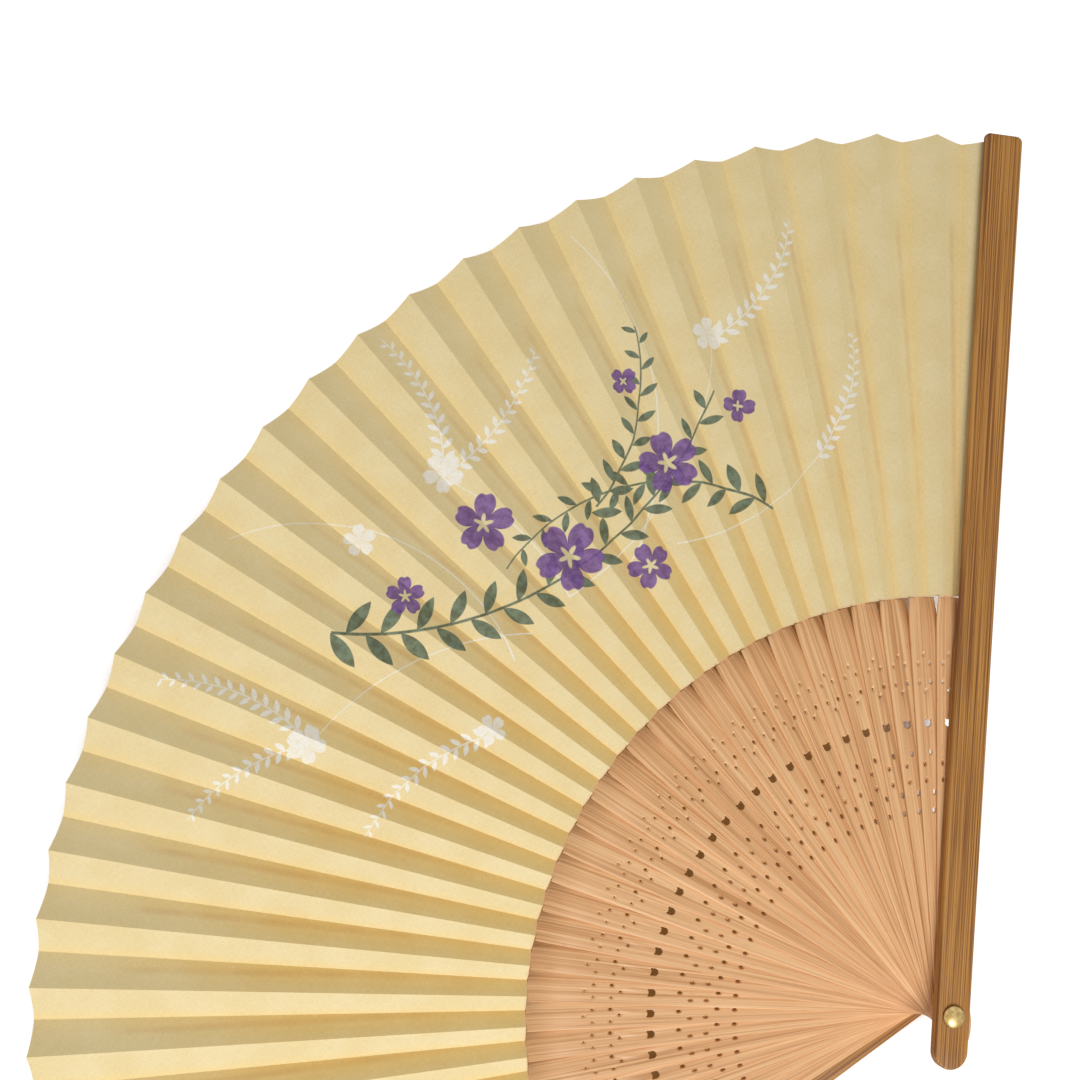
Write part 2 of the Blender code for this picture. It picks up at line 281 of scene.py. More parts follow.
# %% Node helper
class Nodes:
    def __init__(self, tree):
        self.tree = tree

    def put(self, socket, value):
        if isinstance(value, bpy.types.NodeSocket):
            self.tree.links.new(value, socket)
        elif socket.type == "RGBA":
            socket.default_value = (*value, 1.0)
        else:
            socket.default_value = value

    def add(self, kind, **settings):
        node = self.tree.nodes.new("ShaderNode" + kind)
        for key, value in settings.items():
            setattr(node, key, value)
        return node

    def math(self, operation, *values):
        node = self.add("Math", operation=operation)
        for socket, value in zip(node.inputs, values):
            self.put(socket, value)
        return node.outputs[0]

    def times(self, first, *others):
        for other in others:
            first = self.math("MULTIPLY", first, other)
        return first

    def plus(self, a, b):
        return self.math("ADD", a, b)

    def minus(self, a, b):
        return self.math("SUBTRACT", a, b)

    def divided(self, a, b):
        return self.math("DIVIDE", a, b)

    def scaled(self, value, factor, added):
        """The value times the factor, plus what is added."""
        return self.math("MULTIPLY_ADD", value, factor, added)

    def vector(self, operation, *values):
        node = self.add("VectorMath", operation=operation)
        for socket, value in zip(node.inputs, values):
            self.put(socket, value)
        return node.outputs["Value" if operation == "LENGTH" else "Vector"]

    def ramp(self, value, low, high, to_low=0.0, to_high=1.0):
        """A smooth step from to_low at low to to_high at high."""
        node = self.add("MapRange", interpolation_type="SMOOTHSTEP")
        labels = ("Value", "From Min", "From Max", "To Min", "To Max")
        for label, source in zip(labels, (value, low, high, to_low, to_high)):
            self.put(node.inputs[label], source)
        return node.outputs["Result"]

    def mix(self, share, a, b, blend="MIX"):
        node = self.add("Mix", data_type="RGBA", blend_type=blend)
        self.put(node.inputs["Factor"], share)
        self.put(node.inputs["A"], a)
        self.put(node.inputs["B"], b)
        return node.outputs["Result"]

    def noise(self, place, scale, detail=2.0, rough=0.5):
        node = self.add("TexNoise")
        self.put(node.inputs["Vector"], place)
        self.put(node.inputs["Scale"], scale)
        node.inputs["Detail"].default_value = detail
        node.inputs["Roughness"].default_value = rough
        return node.outputs["Fac"]

    def stretched(self, place, x, y):
        node = self.add("Mapping")
        self.put(node.inputs["Vector"], place)
        node.inputs["Scale"].default_value = (x, y, 1.0)
        return node.outputs["Vector"]

    def uv(self, name):
        return self.add("UVMap", uv_map=name).outputs["UV"]

    def split(self, vector):
        node = self.add("SeparateXYZ")
        self.put(node.inputs[0], vector)
        return node.outputs["X"], node.outputs["Y"]

    def join(self, x, y):
        node = self.add("CombineXYZ")
        self.put(node.inputs["X"], x)
        self.put(node.inputs["Y"], y)
        return node.outputs["Vector"]

    def grey(self, value):
        """One value for all three channels of a colour."""
        node = self.add("CombineColor")
        for socket in node.inputs:
            self.put(socket, value)
        return node.outputs["Color"]


def new_group(name, inputs, outputs):
    """A node group with sockets listed by kind. Returns it, its Nodes, what it is given and its ends."""
    group = bpy.data.node_groups.new(name, "ShaderNodeTree")
    for in_out, sockets in (("INPUT", inputs), ("OUTPUT", outputs)):
        for kind, labels in sockets.items():
            for label in labels:
                group.interface.new_socket(label, in_out=in_out, socket_type="NodeSocket" + kind)
    start = group.nodes.new("NodeGroupInput")
    end = group.nodes.new("NodeGroupOutput")
    return group, Nodes(group), start.outputs, end.inputs


def use_group(nodes, group, **values):
    """Places a group in a material. A keyword's underscores stand for the spaces of a socket name."""
    node = nodes.tree.nodes.new("ShaderNodeGroup")
    node.node_tree = group
    for key, value in values.items():
        nodes.put(node.inputs[key.replace("_", " ")], value)
    return node.outputs


def new_material(name, roughness, metallic=0.0):
    made = bpy.data.materials.new(name)
    made.use_nodes = True
    shader = made.node_tree.nodes["Principled BSDF"]
    shader.inputs["Roughness"].default_value = roughness
    shader.inputs["Metallic"].default_value = metallic
    return made, Nodes(made.node_tree), shader


def bump(nodes, shader, height, distance, strength):
    node = nodes.add("Bump")
    node.inputs["Strength"].default_value = strength
    node.inputs["Distance"].default_value = distance
    nodes.put(node.inputs["Height"], height)
    nodes.put(shader.inputs["Normal"], node.outputs["Normal"])


# %% [markdown]
# World and floor
#
# A pale world fills the shade. The camera and glossy reflections see it white. The floor shows
# white to the camera wherever it sees the sky. Right under the fan it sees little of it, and there
# it glows dark brown instead, a painted shade, so the openings in the sticks look dark, as they do in
# the photo.

# %% World
WORLD_FILL = 0.285
WHITE = (1.0, 1.0, 1.0)

world = bpy.data.worlds.new("studio")
bpy.context.scene.world = world
world.use_nodes = True
n = Nodes(world.node_tree)
rays = n.add("LightPath").outputs
seen = n.math("MAXIMUM", rays["Is Camera Ray"], rays["Is Glossy Ray"])
n.put(world.node_tree.nodes["Background"].inputs["Color"], n.mix(seen, (WORLD_FILL,) * 3, WHITE))
print("world:", len(world.node_tree.nodes), "nodes")

# %% Floor
FLOOR_SIZE = 6.0
FLOOR_BELOW = 0.1 * MM
FLOOR_SHADE_REACH = 120 * MM
SKY_UNDER_FAN = 0.36
SKY_BESIDE_FAN = 0.455
# Painted shade: the floor's dark brown glow under the fan, and its dark brown for the camera.
PAINTED_SHADE_UNDER_FAN = (0.15, 0.065, 0.016)
FLOOR_FOR_LIGHT = (0.8, 0.78, 0.74)
CAMERA_FLOOR_SHADE = (0.15, 0.08, 0.035)

bpy.ops.object.select_all(action="DESELECT")
bpy.ops.mesh.primitive_plane_add(size=FLOOR_SIZE, location=(0, 0, -FLOOR_BELOW))
floor = named("floor")
floor_look, n, shader = new_material("pale_floor", 0.9)
sky = n.add("AmbientOcclusion", samples=8)
n.put(sky.inputs["Distance"], FLOOR_SHADE_REACH)
opened = n.ramp(sky.outputs["AO"], SKY_UNDER_FAN, SKY_BESIDE_FAN)
by_camera = n.add("LightPath").outputs["Is Camera Ray"]
# Painted shade: to the camera the floor glows white where it sees the sky and dark brown under the fan.
n.put(shader.inputs["Emission Color"], n.mix(opened, PAINTED_SHADE_UNDER_FAN, WHITE))
n.put(shader.inputs["Emission Strength"], by_camera)
# To the camera the floor is dark brown, which shows only in the painted shade under the fan.
n.put(shader.inputs["Base Color"], n.mix(by_camera, FLOOR_FOR_LIGHT, CAMERA_FLOOR_SHADE))
dress(floor, floor_look)
print("floor:", FLOOR_SIZE, "m wide")

# %% [markdown]
# Bamboo grain
#
# Split bamboo shows its fibres as fine lines that run the whole length of a slat. The grain is a
# noise that is squeezed hard across the slat and drawn out along it, once for broad tones and once
# for single fibres. Sticks and guards use the same group with their own colours. It reads the map
# "grain", in metres along and across the slat, so the lines follow a stick wherever it turns.


# %% Grain group
BROAD_TONES = (9.0, 420.0)
FIBRES = (18.0, 2300.0)
LINES = (7.0, 1260.0)
FLECKS = (300.0, 2600.0)


def make_grain():
    inputs = {"Color": ("Pale", "Middle", "Dark"), "Float": ("Fibre scale", "Contrast", "Broad share")}
    outputs = {"Color": ("Color",), "Float": ("Height", "Roughness")}
    group, n, given, ends = new_group("bamboo_grain", inputs, outputs)
    place = n.uv("grain")
    along, across = n.split(place)
    fibre_place = n.join(along, n.times(across, given["Fibre scale"]))
    broad = n.noise(n.stretched(place, *BROAD_TONES), 1.0, 2.0)
    fibres = n.noise(n.stretched(fibre_place, *FIBRES), 1.0, 3.0, 0.6)
    lines = n.noise(n.stretched(fibre_place, *LINES), 1.0, 1.0)
    flecks = n.noise(n.stretched(place, *FLECKS), 1.0, 1.0)
    tone = n.scaled(n.minus(broad, fibres), given["Broad share"], fibres)
    wide = n.times(n.minus(tone, 0.5), given["Contrast"])
    colour = n.mix(n.ramp(wide, -0.02, 0.17), given["Middle"], given["Pale"])
    for share, shade in (
        (n.ramp(wide, 0.02, -0.17), "Dark"),
        (n.times(n.ramp(lines, 0.40, 0.30), 0.55), "Dark"),
        (n.times(n.ramp(lines, 0.62, 0.70), 0.6), "Pale"),
        (n.times(n.ramp(flecks, 0.66, 0.74), 0.35), "Dark"),
    ):
        colour = n.mix(share, colour, given[shade])
    n.put(ends["Color"], colour)
    n.put(ends["Height"], n.plus(fibres, n.times(lines, 0.5)))
    n.put(ends["Roughness"], n.ramp(fibres, 0.3, 0.7, 0.52, 0.38))
    return group


GRAIN = make_grain()


def bamboo(name, pale, middle, dark, **fibres):
    made, n, shader = new_material(name, 0.45)
    grain = use_group(n, GRAIN, Pale=pale, Middle=middle, Dark=dark, **fibres)
    n.put(shader.inputs["Base Color"], grain["Color"])
    n.put(shader.inputs["Roughness"], grain["Roughness"])
    bump(n, shader, grain["Height"], 0.04 * MM, 0.5)
    return made


STICK_BAMBOO = bamboo(
    "stick_bamboo",
    (0.96, 0.605, 0.305),
    (0.81, 0.44, 0.195),
    (0.52, 0.228, 0.072),
    Fibre_scale=1.0,
    Contrast=1.0,
    Broad_share=0.4,
)
GUARD_BAMBOO = bamboo(
    "guard_bamboo",
    (0.57, 0.27, 0.057),
    (0.40, 0.163, 0.023),
    (0.18, 0.057, 0.006),
    Fibre_scale=1.3,
    Contrast=1.7,
    Broad_share=0.12,
)
print("bamboo:", len(GRAIN.nodes), "nodes in the grain group")


def map_grain(obj):
    """Stores where each vertex lies along and across the slat, in metres."""
    co = coordinates(obj)
    write_uv(obj.data, "grain", np.column_stack((co[:, 0], co[:, 1] + co[:, 2])))


# %% [markdown]
# One stick
#
# A stick is a thin slat with a round butt, cut through with a flower, a bud and a sprig of seeds.
# One edge lies free on the next stick down. The other one is covered by the next stick up, and
# reaches further out, so no gap opens between two sticks. Near the leaf the stick steps down to a
# narrow rib. It starts as a small box at the butt, is drawn out by extruding, and the openings are
# small ovals taken away with Booleans. The bud is cut a little small, as a rounded rim then runs
# round it. The seeds have slanted mouths, whose far walls catch the light.

# %% Stick sizes
STICK_THICK = 0.5 * MM
STICK_BUTT = 10.5 * MM
LEAF_INNER = 92.5 * MM
LEAF_OUTER = 198 * MM
RIB_REACH = 180 * MM
BLADE_HALF_AT_RIVET = 2.4 * MM
BLADE_FREE_AT_LEAF = 2.88 * MM
BLADE_COVERED_AT_LEAF = 4.15 * MM
RIB_HALF = 1.2 * MM
RIB_HALF_AT_END = 0.95 * MM
RIB_THICK = 0.32 * MM
SHOULDER_END = LEAF_INNER - 0.03 * MM
SHOULDER_START = SHOULDER_END - 0.15 * MM
TWIST_START = LEAF_INNER - 8 * MM
TWIST_END = LEAF_INNER + 2.5 * MM
PLEAT_TILT = math.radians(23)
BORE_RADIUS = 1.5 * MM
STICK_RIM = 0.17 * MM
STICK_EDGE = 0.05 * MM
BUTT_TIP = 0.02 * MM
SHOULDER_STEPS = ((0.3, 0.2), (0.6, 0.72), (0.8, 0.93))


def smooth(share):
    share = min(max(share, 0.0), 1.0)
    return share * share * (3 - 2 * share)


def twist_at(radius):
    return PLEAT_TILT * smooth((radius - TWIST_START) / (TWIST_END - TWIST_START))


def blade_at(radius):
    """Half the width of a blade, and how far its middle lies from the stick's own line."""
    share = max(radius, 0) / SHOULDER_START
    free = BLADE_HALF_AT_RIVET + (BLADE_FREE_AT_LEAF - BLADE_HALF_AT_RIVET) * share
    covered = BLADE_HALF_AT_RIVET + (BLADE_COVERED_AT_LEAF - BLADE_HALF_AT_RIVET) * share
    return (free + covered) / 2, (free - covered) / 2


def round_end(tip, radius, cuts):
    """Stations (x, half width) from a round end's tip to where it reaches its full width."""
    turns = [math.radians(90) * n / cuts for n in range(1, cuts + 1)]
    return [(tip + radius * (1 - math.cos(a)), radius * math.sin(a)) for a in turns]


# %% Draw a slat out of a box
def slat(name, stations):
    """A slat whose outline passes through stations of (x, half width, middle, thickness)."""
    (x0, half0, _, thick0), (x1, half1, _, thick1) = stations[:2]
    bpy.ops.object.select_all(action="DESELECT")
    bpy.ops.mesh.primitive_cube_add(
        size=1, location=((x0 + x1) / 2, 0, 0), scale=(x1 - x0, 2 * half0, thick0)
    )
    made = named(name)
    bpy.ops.object.transform_apply(location=True, rotation=False, scale=True)
    mode("EDIT")
    near = (x1 - x0) / 4
    pick(made, lambda co: co.x > x1 - near)
    bpy.ops.transform.resize(value=(1, half1 / half0, thick1 / thick0), center_override=(x1, 0, 0))
    for station, following in zip(stations[1:], stations[2:]):
        x, half, middle, thick = station
        to_x, to_half, to_middle, to_thick = following
        onward = (to_x - x, to_middle - middle, 0)
        bpy.ops.mesh.extrude_region_move(TRANSFORM_OT_translate={"value": onward})
        wider = (1, to_half / half, to_thick / thick)
        bpy.ops.transform.resize(value=wider, center_override=(to_x, to_middle, 0))
    mode("OBJECT")
    return made


BUTT_CUTS = 10
TWIST_CUTS = 12
THINNED_CUTS = 2
RIB_CUTS = 8


def stick_stations():
    """The stick is thinned just before its shoulder, so that the shoulder's own faces are level."""
    butt = [(-STICK_BUTT, BUTT_TIP)] + round_end(-STICK_BUTT, BLADE_HALF_AT_RIVET, BUTT_CUTS)
    stations = [(x, half, 0.0, STICK_THICK) for x, half in butt]
    for cut in range(TWIST_CUTS + 1):
        radius = TWIST_START + (SHOULDER_START - TWIST_START) * cut / TWIST_CUTS
        thinned = max(0, cut - TWIST_CUTS + THINNED_CUTS) / THINNED_CUTS
        stations.append((radius, *blade_at(radius), STICK_THICK + (RIB_THICK - STICK_THICK) * thinned))
    shoulder = SHOULDER_END - SHOULDER_START
    for share, narrowed in SHOULDER_STEPS:
        radius = SHOULDER_START + shoulder * share
        half, middle = blade_at(radius)
        half += (RIB_HALF - half) * narrowed
        stations.append((radius, half, middle * (1 - narrowed), RIB_THICK))
    stations.append((SHOULDER_END, RIB_HALF, 0.0, RIB_THICK))
    for cut in range(RIB_CUTS + 1):
        radius = TWIST_END + (RIB_REACH - TWIST_END) * cut / RIB_CUTS
        half = RIB_HALF + (RIB_HALF_AT_END - RIB_HALF) * cut / RIB_CUTS
        stations.append((radius, half, 0.0, RIB_THICK))
    return stations


# %% Openings of a stick
BUD_X = LEAF_INNER - 28.3 * MM
FLOWER_X = BUD_X + 11.3 * MM
FLOWER_HALF_WIDTH = 1.55 * MM
FLOWER_HALF_LENGTH = 4.1 * MM
PETAL_CORES = (0.28, 0.28, 0.36, 0.42, 0.54, 0.38)
PETAL_HALF_LENGTH = 0.74 * MM
SEED_HALF_LENGTH = 0.84 * MM
SEED_HALF_WIDTH = 0.5 * MM
SPRIG_LENGTH = 19.3 * MM
SPRIG_HALF_WIDTH = 1.3 * MM
SPRIG_SHARES = ((-0.2, -0.33), (1.0, -0.46), (0.9, -0.65), (-0.4, -0.79), (-0.1, -1.0))
SPRIG_CORE = 0.62
BUD_HALF_LENGTH = 0.80 * MM
BUD_HALF_WIDTH = 0.80 * MM
EAR_HALF_LENGTH = 0.40 * MM
EAR_HALF_WIDTH = 0.24 * MM
EAR_TURN = math.radians(12)
EAR_X = BUD_X + BUD_HALF_LENGTH * 0.75
BORE_SIDES = 32
CUTTER_SPAN = (-0.8 * STICK_THICK, 0.8 * STICK_THICK)
MOUTH_SPAN = (-0.04 * STICK_THICK, 0.7 * STICK_THICK)


def oval(x, y, half_length, half_width, turn=0.0, sides=16, span=CUTTER_SPAN, shares=(1, 1)):
    """One upright oval cutter. Span is its lowest and highest z, and shares its relative size there."""
    bpy.ops.object.select_all(action="DESELECT")
    bpy.ops.mesh.primitive_cone_add(
        vertices=sides,
        radius1=shares[0],
        radius2=shares[1],
        depth=span[1] - span[0],
        location=(x, y, sum(span) / 2),
        rotation=(0, 0, turn),
        scale=(half_length, half_width, 1),
    )
    made = bpy.context.active_object
    bpy.ops.object.transform_apply(location=True, rotation=True, scale=True)
    return made


def bud_cutters():
    """The bore and the bud, then the ears of the bud, so that the ovals of one set never meet."""
    round_ones = [
        oval(0, 0, BORE_RADIUS, BORE_RADIUS, sides=BORE_SIDES),
        oval(BUD_X, 0, BUD_HALF_LENGTH, BUD_HALF_WIDTH, sides=20),
    ]
    ears = []
    for side in (-1, 1):
        y = side * (BUD_HALF_WIDTH - EAR_HALF_WIDTH)
        ears.append(oval(EAR_X, y, EAR_HALF_LENGTH, EAR_HALF_WIDTH, side * EAR_TURN, 14))
    return round_ones, ears


def seed_cutters():
    """The seeds of flower and sprig: straight cores right through, then their slanted mouths."""
    places = []
    for petal, core in enumerate(PETAL_CORES):
        turn = 2 * math.pi * petal / len(PETAL_CORES)
        x = FLOWER_X + FLOWER_HALF_LENGTH * math.cos(turn)
        places.append((x, FLOWER_HALF_WIDTH * math.sin(turn), PETAL_HALF_LENGTH, core))
    for across, down in SPRIG_SHARES:
        x = BUD_X + down * SPRIG_LENGTH
        places.append((x, across * SPRIG_HALF_WIDTH, SEED_HALF_LENGTH, SPRIG_CORE))
    cores = [oval(x, y, length * core, SEED_HALF_WIDTH * core) for x, y, length, core in places]
    mouths = []
    for x, y, length, core in places:
        shares = [core + (1 - core) * height / (STICK_THICK / 2) for height in MOUTH_SPAN]
        mouths.append(oval(x, y, length, SEED_HALF_WIDTH, span=MOUTH_SPAN, shares=shares))
    return cores, mouths


def joined(objects):
    """Joins all the objects into the first one."""
    only(objects[0])
    for other in objects:
        other.select_set(True)
    bpy.ops.object.join()
    return bpy.context.active_object


# %% Rounded rims
FACING = 0.75


def round_rim(obj, side, size, cuts):
    """In edit mode, rounds the rim of the upper (side 1) or lower (side -1) face by small insets."""
    bpy.ops.mesh.select_mode(type="FACE")
    bpy.ops.mesh.select_all(action="DESELECT")
    bm = bmesh.from_edit_mesh(obj.data)
    for face in bm.faces:
        face.select_set(face.normal.z * side > FACING)
    bmesh.update_edit_mesh(obj.data)
    bpy.ops.transform.translate(value=(0, 0, -side * size))
    inward, upward = 0.0, 0.0
    for cut in range(1, cuts + 1):
        turn = math.radians(90) * cut / cuts
        next_inward, next_upward = size * (1 - math.cos(turn)), size * math.sin(turn)
        bpy.ops.mesh.inset(thickness=next_inward - inward, depth=next_upward - upward)
        inward, upward = next_inward, next_upward


# %% Model the stick once
STEEP = 0.1
SLANTED = 0.95
LEVEL = 0.999


def twist(obj, stations):
    """At each station, turns all that lies beyond it a little further about the slat's middle line."""
    only(obj)
    mode("EDIT")
    near = 0.02 * MM
    before = 0.0
    for x, *_ in stations:
        turn = twist_at(x) - before
        before += turn
        if turn > 0 and pick(obj, lambda co: co.x > x - near):
            bm = bmesh.from_edit_mesh(obj.data)
            chosen = [v for v in bm.verts if v.select]
            bmesh.ops.rotate(bm, verts=chosen, cent=(x, 0, 0), matrix=Matrix.Rotation(turn, 3, "X"))
            bmesh.update_edit_mesh(obj.data)
    mode("OBJECT")


def sharpen_mouths(obj):
    """Keeps the level face from shading over into the slanted mouths of the openings."""
    only(obj)
    mode("EDIT")
    bm = bmesh.from_edit_mesh(obj.data)
    rims = []
    for edge in bm.edges:
        slopes = sorted(face.normal.z for face in edge.link_faces)
        if len(slopes) == 2 and STEEP < slopes[0] < SLANTED and slopes[1] > LEVEL:
            rims.append(edge)
    for edge in rims:
        edge.smooth = False
    bmesh.update_edit_mesh(obj.data)
    mode("OBJECT")
    return len(rims)


stations = stick_stations()
stick = slat("stick", stations)
for cutters in bud_cutters():
    cut_with(stick, joined(cutters))
mode("EDIT")
round_rim(stick, 1, STICK_RIM, 3)
round_rim(stick, -1, STICK_EDGE, 1)
mode("OBJECT")
for cutters in seed_cutters():
    cut_with(stick, joined(cutters))
bpy.ops.object.shade_smooth_by_angle(angle=SMOOTH_ANGLE)
print("edges kept sharp at the mouths:", sharpen_mouths(stick))
map_grain(stick)
twist(stick, stations)
dress(stick, STICK_BAMBOO)
print("stick:", len(stick.data.polygons), "faces, box in mm:", in_mm(stick.dimensions))

# %% [markdown]
# Thirty sticks
#
# Each copy gets its own mesh, and its grain is moved along the bamboo by another amount, so that no
# two sticks show the same fibres. Azimuth and height come from the frame.

# %% Copy the sticks
GRAIN_SHIFT = (0.37, 0.0231)
for number in range(1, STICKS + 1):
    made = copy_of(stick, blade_name(number))
    grain = np.zeros(len(made.data.loops) * 2, np.float32)
    made.data.uv_layers["grain"].data.foreach_get("uv", grain)
    grain = grain.reshape(-1, 2) + np.array(GRAIN_SHIFT, np.float32) * number
    made.data.uv_layers["grain"].data.foreach_set("uv", grain.ravel())
    placed(made, AZIMUTH[number], MIDDLE[number])
    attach(made, stick_name(number))
    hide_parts(stick_name(number))
bpy.data.objects.remove(stick, do_unlink=True)
print("sticks placed from and to:", [round(math.degrees(AZIMUTH[k]), 1) for k in (1, STICKS)])

# %% [markdown]
# The guards
#
# A guard is the thick outer stick. It is drawn out of a box like the stick. Beyond the blades its
# inner face is then raised, which leaves room for the folded leaf. The rim of the outer face gets a
# wide rounding and the rim of the inner face a narrow one.

# %% Guard
GUARD_THICK = 2.6 * MM
GUARD_BUTT = 11.5 * MM
GUARD_REACH = 199 * MM
GUARD_HALF_AT_RIVET = 3.85 * MM
GUARD_HALF_AT_TIP = 4.55 * MM
GUARD_RIM = 0.45 * MM
GUARD_EDGE = 0.1 * MM
GUARD_TIP_CORNER = 1.4 * MM
PARED_DEPTH = 1.6 * MM
PARED_START = LEAF_INNER - 13 * MM
PARED_RAMP = 4 * MM


def guard_half(radius):
    return GUARD_HALF_AT_RIVET + (GUARD_HALF_AT_TIP - GUARD_HALF_AT_RIVET) * max(radius, 0) / GUARD_REACH


def guard_stations():
    outline = [(-GUARD_BUTT, BUTT_TIP)]
    outline += round_end(-GUARD_BUTT, GUARD_HALF_AT_RIVET, BUTT_CUTS)
    outline += [(x, guard_half(x)) for x in (PARED_START, PARED_START + PARED_RAMP)]
    inner_half = guard_half(GUARD_REACH) - GUARD_TIP_CORNER
    corner = round_end(0.0, GUARD_TIP_CORNER, 6)
    outline += [(GUARD_REACH - x, inner_half + rise) for x, rise in reversed(corner)]
    outline.append((GUARD_REACH, inner_half))
    return [(x, half, 0.0, GUARD_THICK) for x, half in outline]


guard = slat("guard", guard_stations())
mode("EDIT")
pick(guard, lambda co: co.z < 0 and co.x > PARED_START + PARED_RAMP / 2)
bpy.ops.transform.translate(value=(0, 0, PARED_DEPTH))
round_rim(guard, 1, GUARD_RIM, 4)
round_rim(guard, -1, GUARD_EDGE, 2)
mode("OBJECT")
print("guard box in mm:", in_mm(guard.dimensions))
through = (-GUARD_THICK, GUARD_THICK)
cut_with(guard, oval(0, 0, BORE_RADIUS, BORE_RADIUS, sides=BORE_SIDES, span=through))
only(guard)
bpy.ops.object.shade_smooth_by_angle(angle=SMOOTH_ANGLE)
map_grain(guard)
dress(guard, GUARD_BAMBOO)

# %% Front and back guard
FRONT_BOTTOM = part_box("front_guard")[0].z
BACK_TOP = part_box("back_guard")[1].z
for name, azimuth, height, over in (
    ("front_guard", FRONT_AZIMUTH, FRONT_BOTTOM + GUARD_THICK / 2, False),
    ("back_guard", BACK_AZIMUTH, BACK_TOP - GUARD_THICK / 2, True),
):
    made = copy_of(guard, name.replace("guard", "guard_slat"))
    placed(made, azimuth, height, over)
    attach(made, name)
    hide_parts(name)
bpy.data.objects.remove(guard, do_unlink=True)
print("guards from", round(FRONT_BOTTOM / MM, 2), "down to", round(BACK_TOP / MM, 2), "mm")

# %% [markdown]
# The rivet
#
# A brass pin holds the sticks. Its flat head is below the back guard, and a domed cap closes it in
# front. The pin starts as a cylinder whose top is inset and drawn up. The cap starts as a flattened
# ball, of which the lower half is flattened again into a short rim.


# %% Brass
DULL_BRASS = (0.42, 0.28, 0.10)
BRIGHT_BRASS = (0.66, 0.49, 0.22)


def make_brass():
    made, n, shader = new_material("rivet_brass", 0.3, 1.0)
    place = n.add("TexCoord").outputs["Object"]
    rubbed = n.noise(place, 900.0, 3.0)
    colour = n.mix(n.ramp(rubbed, 0.35, 0.65), DULL_BRASS, BRIGHT_BRASS)
    n.put(shader.inputs["Base Color"], colour)
    n.put(shader.inputs["Roughness"], n.ramp(rubbed, 0.3, 0.7, 0.42, 0.26))
    bump(n, shader, n.noise(n.stretched(place, 6.0, 1.0), 900.0), 0.01 * MM, 0.3)
    return made


BRASS = make_brass()

# %% Pin and cap
HEAD_RADIUS = 2.5 * MM
HEAD_THICK = 0.6 * MM
PIN_RADIUS = 1.2 * MM
CAP_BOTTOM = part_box("rivet_cap")[0].z
CAP_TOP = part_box("rivet_cap")[1].z
CAP_RIM = 0.2 * MM
TURNED_SIDES = 64

bpy.ops.object.select_all(action="DESELECT")
bpy.ops.mesh.primitive_cylinder_add(
    vertices=TURNED_SIDES, radius=HEAD_RADIUS, depth=HEAD_THICK, location=(0, 0, HEAD_THICK / 2)
)
pin = named("pin")
bpy.ops.object.transform_apply(location=True, rotation=False, scale=False)
mode("EDIT")
pick(pin, lambda co: co.z > HEAD_THICK / 2)
bpy.ops.mesh.inset(thickness=HEAD_RADIUS - PIN_RADIUS)
bpy.ops.mesh.extrude_region_move(TRANSFORM_OT_translate={"value": (0, 0, CAP_BOTTOM - HEAD_THICK)})
mode("OBJECT")
soften(pin, 0.12 * MM, 3)

dome = CAP_TOP - CAP_BOTTOM - CAP_RIM
equator = CAP_BOTTOM + CAP_RIM
bpy.ops.object.select_all(action="DESELECT")
bpy.ops.mesh.primitive_uv_sphere_add(
    segments=TURNED_SIDES,
    ring_count=TURNED_SIDES // 2,
    radius=1,
    location=(0, 0, equator),
    scale=(HEAD_RADIUS, HEAD_RADIUS, dome),
)
cap = named("cap")
bpy.ops.object.transform_apply(location=True, rotation=False, scale=True)
mode("EDIT")
pick(cap, lambda co: co.z < equator - dome / 100)
bpy.ops.mesh.delete(type="VERT")
pick(cap, lambda co: co.z < equator + dome / 100)
bpy.ops.mesh.extrude_edges_move(TRANSFORM_OT_translate={"value": (0, 0, -CAP_RIM)})
bpy.ops.mesh.edge_face_add()
bpy.ops.mesh.select_all(action="SELECT")
bpy.ops.mesh.normals_make_consistent(inside=False)
mode("OBJECT")
soften(cap, 0.06 * MM, 2)
for made, node in ((pin, "rivet_pin"), (cap, "rivet_cap")):
    dress(made, BRASS)
    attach(made, "back_guard")
    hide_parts(node)
print("rivet:", len(pin.data.polygons), "and", len(cap.data.polygons), "faces")

# %% [markdown]
# The leaf
#
# The leaf is one sheet of thin cloth, and every crease in it points at the rivet's axis. It is built
# panel by panel. A panel that is pasted on a rib rides on its stick. A panel between two sticks runs
# from the upper crease of one stick to the lower crease of the next one.

# %% Leaf sizes
CLOTH_THICK = 0.12 * MM
PASTE = 0.05 * MM
SLOPE = math.sin(STEP / 4) * math.tan(PLEAT_TILT)
SEAT = (RIB_THICK / 2 + PASTE + CLOTH_THICK) / math.cos(PLEAT_TILT)
RIM_DIP = 1.1 * MM
RIM_CURVE = 1.6
GUARD_CREASE = math.radians(0.55)
PASTED_STRIP = math.radians(1.5)
ALONG_CUTS = 56
ACROSS_CUTS = 8


def crease(azimuth, height, slope=0.0):
    """A crease line: the height where it meets the rivet's axis, and its direction."""
    return height, Vector((math.cos(azimuth), math.sin(azimuth), slope))


def valley(number):
    return crease(AZIMUTH[number] - STEP / 4, MIDDLE[number] + SEAT, -SLOPE)


def mountain(number):
    return crease(AZIMUTH[number] + STEP / 4, MIDDLE[number] + SEAT, SLOPE)


PASTED_AT_FRONT = FRONT_BOTTOM + PARED_DEPTH - PASTE
PASTED_AT_BACK = BACK_TOP - PARED_DEPTH + PASTE + CLOTH_THICK
print("top of the cloth above a rib's middle:", round(SEAT / MM, 3), "mm")


